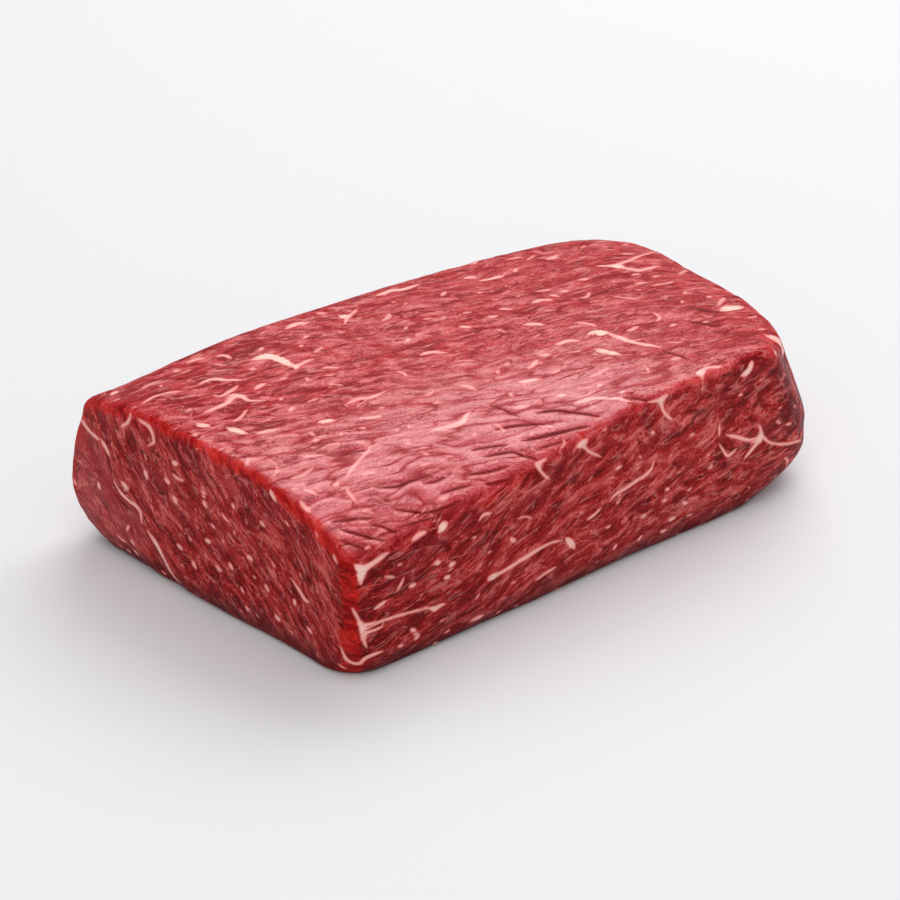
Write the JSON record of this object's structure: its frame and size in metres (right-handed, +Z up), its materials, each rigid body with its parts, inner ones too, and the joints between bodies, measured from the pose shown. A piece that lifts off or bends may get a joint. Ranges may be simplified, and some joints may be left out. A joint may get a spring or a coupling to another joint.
{
  "type": "london broil",
  "caption": "Thick oblong block of raw lean beef with a square end, a rounder end and fine marbling, lying on its flat underside.",
  "frame": {"origin": "on the flat underside's level, under the middle of the block's outer box", "axes": "+X along the block from its square end to its rounder end, +Y across it to its far long side, +Z up"},
  "size_m": [0.2228, 0.1286, 0.0546],
  "materials": {
    "raw_beef": "moist raw beef: fine fibres, small cream marbling flecks, brighter red on the cut edges, soft wet sheen"
  },
  "bodies": {
    "root": {"beef_block": "raw_beef"}
  },
  "joints": []
}
